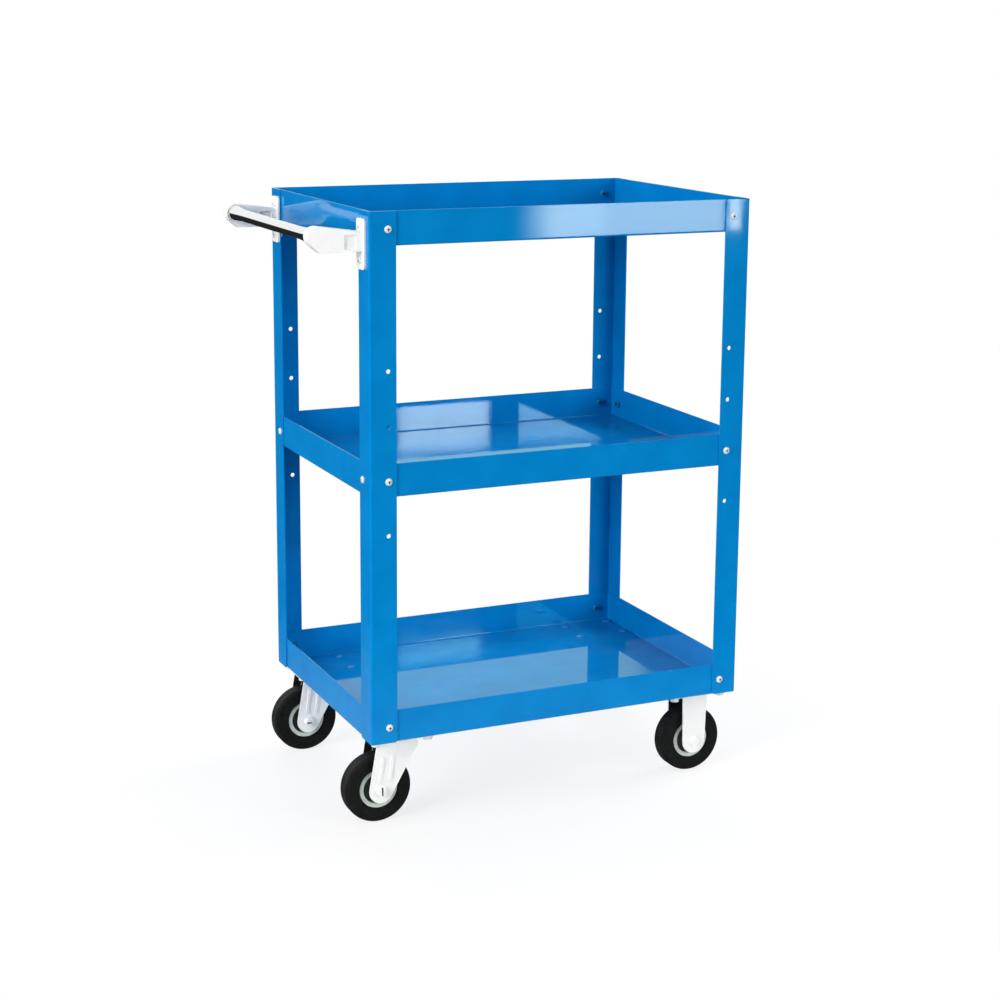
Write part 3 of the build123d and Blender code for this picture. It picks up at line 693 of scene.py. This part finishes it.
for held in SCREWED:
    detailed(held + "_screws", make_screw, True, SCREW_HEAD_HEIGHT)
    detailed(held + "_nuts", make_nut(SCREW_RADIUS), False, 0.0)
detailed("caster_bolts", make_cup_bolt, False, CUP_HEAD_HEIGHT)
detailed("caster_nuts", make_nut(BOLT_RADIUS), False, 0.0)
for corner in CORNERS:
    detailed("axle_bolt_" + corner, make_bolt(SLOT_TURNS.get(corner)), True, BOLT_HEAD_HEIGHT)
    detailed("axle_nut_" + corner, make_nut(BOLT_RADIUS), False, 0.0)
    if corner.endswith("left"):
        detailed("swivel_king_nut_" + corner, make_nut(KING_PIN_RADIUS), False, 0.0)


# Floor and backdrop

WHITE = (1, 1, 1, 1)
FLOOR_PALE = (0.9, 0.9, 0.9, 1)
FLOOR_RADIUS = 0.95
FLOOR_STEPS = 96
FLOOR_FADE_START = 0.4
FLOOR_SHADOW_SHARE = 0.22
FLOOR_IN_GLOSS = 0.05
ROOM_LIGHT = 0.25
DIM_ROOM_IN_GLOSS = 0.02
SHEET_TINT = (0.62, 1.0, 0.86, 1.0)

# Edges of what gloss sees, from none to full, as the X, Y or Z of a direction of length 1
OVERHEAD_Z = (0.33, 0.5)
SHEET_FOOT_Z = (-0.03, 0.03)
BACK_Y = (-0.3, 0.1)
SHEET_SIDE_X = (0.468, 0.454)
UNTINTED_X = (0.36, 0.27)


def pale_floor():
    """White floor that shows the cart's shadow near it and runs out into the white backdrop."""
    finish = bpy.data.materials.new("floor_white")
    finish.use_nodes = True
    tree = finish.node_tree
    tree.nodes.remove(tree.nodes["Principled BSDF"])
    path = add(tree, "LightPath").outputs
    mirrored = figure(tree, "MAXIMUM", path["Is Glossy Ray"], path["Is Transmission Ray"])
    seen = figure(tree, "MAXIMUM", path["Is Camera Ray"], mirrored)
    place = add(tree, "TexCoord").outputs["Object"]
    reach = add(tree, "VectorMath", {0: place}, operation="LENGTH").outputs["Value"]
    plain = ramp(tree, reach, FLOOR_FADE_START, FLOOR_RADIUS, low=1 - FLOOR_SHADOW_SHARE)
    lit = add(tree, "BsdfDiffuse", {"Color": FLOOR_PALE}).outputs[0]
    glow = ramp(tree, mirrored, 0.0, 1.0, low=1.0, high=FLOOR_IN_GLOSS)
    white = add(tree, "Emission", {"Color": WHITE, "Strength": glow}).outputs[0]
    share = figure(tree, "MULTIPLY", plain, seen)
    both = add(tree, "MixShader", {0: share, 1: lit, 2: white}).outputs[0]
    clear = add(tree, "BsdfTransparent").outputs[0]
    from_below = add(tree, "NewGeometry").outputs["Backfacing"]
    shown = add(tree, "MixShader", {0: from_below, 1: both, 2: clear}).outputs[0]
    tree.links.new(shown, tree.nodes["Material Output"].inputs["Surface"])
    return finish


def floor():
    """Round floor under the cart."""
    shape = bmesh.new()
    bmesh.ops.create_circle(shape, cap_ends=True, radius=FLOOR_RADIUS, segments=FLOOR_STEPS)
    mesh = bpy.data.meshes.new("floor")
    shape.to_mesh(mesh)
    shape.free()
    piece = bpy.data.objects.new("floor", mesh)
    scene.collection.objects.link(piece)
    mesh.materials.append(pale_floor())


def backdrop():
    """White all round for the camera. Gloss sees a white sheet behind that is tinted towards its
    right side, white overhead, and a dim room elsewhere."""
    world = bpy.data.worlds.new("studio")
    scene.world = world
    world.use_nodes = True
    tree = world.node_tree
    path = add(tree, "LightPath").outputs
    place = add(tree, "SeparateXYZ", {0: add(tree, "TexCoord").outputs["Generated"]}).outputs
    overhead = ramp(tree, place["Z"], *OVERHEAD_Z)
    at_back = ramp(tree, place["Y"], *BACK_Y)
    behind = figure(tree, "MULTIPLY", at_back, ramp(tree, place["Z"], *SHEET_FOOT_Z))
    sheet = figure(tree, "MULTIPLY", behind, ramp(tree, place["X"], *SHEET_SIDE_X))
    in_front = figure(tree, "MULTIPLY", overhead, ramp(tree, place["Y"], *reversed(BACK_Y)))
    around = figure(tree, "MAXIMUM", sheet, in_front)
    lit = figure(tree, "MAXIMUM", around, DIM_ROOM_IN_GLOSS)
    mirrored = figure(tree, "MAXIMUM", path["Is Glossy Ray"], path["Is Transmission Ray"])
    room = add(tree, "Mix", {0: mirrored, 2: ROOM_LIGHT, 3: lit}).outputs[0]
    seen = add(tree, "Mix", {0: path["Is Camera Ray"], 2: room, 3: 1.0}).outputs[0]
    tree.links.new(seen, tree.nodes["Background"].inputs["Strength"])
    untinted = figure(tree, "MAXIMUM", ramp(tree, place["X"], *UNTINTED_X), overhead)
    plain = figure(tree, "MAXIMUM", untinted, figure(tree, "SUBTRACT", 1.0, mirrored))
    colour = mixed(tree, plain, SHEET_TINT, WHITE)
    tree.links.new(colour, tree.nodes["Background"].inputs["Color"])


# Lamps and camera

LAMP_WHITE = (1.0, 1.0, 1.0)
PANEL_TINT = (0.86, 1.0, 0.92)
TRAY_LEFT_TINT = (0.76, 1.0, 1.0)
TRAY_RIGHT_TINT = (0.42, 0.8, 1.0)
LOW_LEFT_TINT = (0.34, 0.95, 1.0)
LOW_RIGHT_TINT = (0.08, 0.8, 1.0)
NEAR_PANELS = 2.9
FAR_PANELS = 5.5
HARD_SIDE = 0.01
BEYOND_ONE_MIRROR = 1.5
CART_MIDDLE = (0.0, 0.0, 0.5)
CAMERA_PLACE = (-1.21618, -2.7265, 1.1449)
CAMERA_YAW = math.radians(24.612)
CAMERA_PITCH = math.radians(11.311)
CAMERA_ROLL = math.radians(0.44)
SENSOR_WIDTH = 36.0
LENS_LENGTH = 71.61
LENS_SHIFT = -0.08


def softbox(name, at, towards, width, height, brightness, tint=LAMP_WHITE):
    """Rectangular lamp, where brightness 1 is a white wall in full light."""
    lamp = bpy.data.lights.new(name, "AREA")
    lamp.shape = "RECTANGLE"
    lamp.size, lamp.size_y = width, height
    lamp.energy = brightness * math.pi * width * height
    lamp.color = tint
    piece = bpy.data.objects.new(name, lamp)
    piece.location = at
    piece.rotation_euler = (Vector(towards) - Vector(at)).to_track_quat("-Z", "Y").to_euler()
    scene.collection.objects.link(piece)
    return piece


def matt_light(name, at, width, height, brightness):
    """Softbox that lights the cart and doesn't show in its gloss."""
    softbox(name, at, CART_MIDDLE, width, height, brightness).visible_glossy = False


def shaded(lamp, soft_side, fades, twice):
    """Fade one side of a lamp. If twice is set, it shows only in a mirror image of a mirror image."""
    lamp.use_nodes = True
    tree = lamp.node_tree
    side = along(tree, add(tree, "NewGeometry").outputs["Parametric"], fades)
    shown = ramp(tree, side, 0.0, soft_side)
    if twice:
        depth = add(tree, "LightPath").outputs["Ray Depth"]
        shown = figure(tree, "MULTIPLY", shown, figure(tree, "GREATER_THAN", depth, BEYOND_ONE_MIRROR))
    tree.links.new(shown, tree.nodes["Emission"].inputs["Strength"])


def panel(name, sides, heights, away, brightness, tint=PANEL_TINT, soft_side=0.0, fades="X", twice=False):
    """Light panel between two sides and two heights that faces the cart's front from that far away.
    It shows in the gloss alone."""
    size = (sides[1] - sides[0], heights[1] - heights[0])
    middle, level = sum(sides) / 2, sum(heights) / 2
    piece = softbox(name, (middle, -away, level), (middle, 0.0, level), *size, brightness, tint)
    piece.visible_diffuse = False
    if soft_side or twice:
        shaded(piece.data, soft_side or HARD_SIDE, fades, twice)


def tray_panel(name, sides, heights, brightness, tint, **fade):
    """Far panel that shows inside a tray, in its floor and its rear wall."""
    panel(name, sides, heights, FAR_PANELS, brightness, tint, twice=True, **fade)


def camera():
    """Camera fitted to the corners of the cart in the photograph."""
    lens = bpy.data.cameras.new("camera")
    lens.sensor_width = SENSOR_WIDTH
    lens.lens = LENS_LENGTH
    lens.shift_y = LENS_SHIFT
    piece = bpy.data.objects.new("camera", lens)
    aimed = Matrix.Rotation(-CAMERA_YAW, 4, "Z") @ Matrix.Rotation(math.pi / 2 - CAMERA_PITCH, 4, "X")
    rolled = aimed @ Matrix.Rotation(CAMERA_ROLL, 4, "Z")
    piece.matrix_world = Matrix.Translation(CAMERA_PLACE) @ rolled
    scene.collection.objects.link(piece)
    scene.camera = piece


floor()
backdrop()
panel("top_wall_light", (1.215, 1.5), (0.52, 0.85), NEAR_PANELS, brightness=12.6, soft_side=0.5)
panel("top_corner_light", (1.5, 1.912), (0.52, 0.85), NEAR_PANELS, brightness=10.6)
panel("post_light", (1.93, 1.972), (0.53, 0.85), NEAR_PANELS, brightness=16.0)
tray_panel("tray_light_left", (2.21, 2.68), (1.25, 1.87), 36.0, TRAY_LEFT_TINT)
tray_panel("tray_light_right", (2.83, 3.29), (1.25, 1.87), 26.0, TRAY_RIGHT_TINT)
tray_panel(
    "low_tray_light_left", (2.21, 2.64), (2.02, 2.215), 34.0, LOW_LEFT_TINT, soft_side=0.8, fades="Y"
)
tray_panel("low_tray_light_right", (2.83, 3.29), (1.96, 2.13), 8.0, LOW_RIGHT_TINT)
matt_light("left_key", (-4.6, -1.8, 1.9), width=2.4, height=3.0, brightness=11.6)
matt_light("left_high", (-4.2, -1.2, 3.8), width=3.0, height=3.0, brightness=1.8)
matt_light("right_key", (3.6, -5.4, 1.9), width=4.0, height=3.0, brightness=5.7)
matt_light("back_fill", (0.8, 5.0, 3.0), width=4.0, height=3.0, brightness=5.0)
matt_light("right_fill", (5.0, 0.6, 2.6), width=3.0, height=3.0, brightness=8.0)
camera()
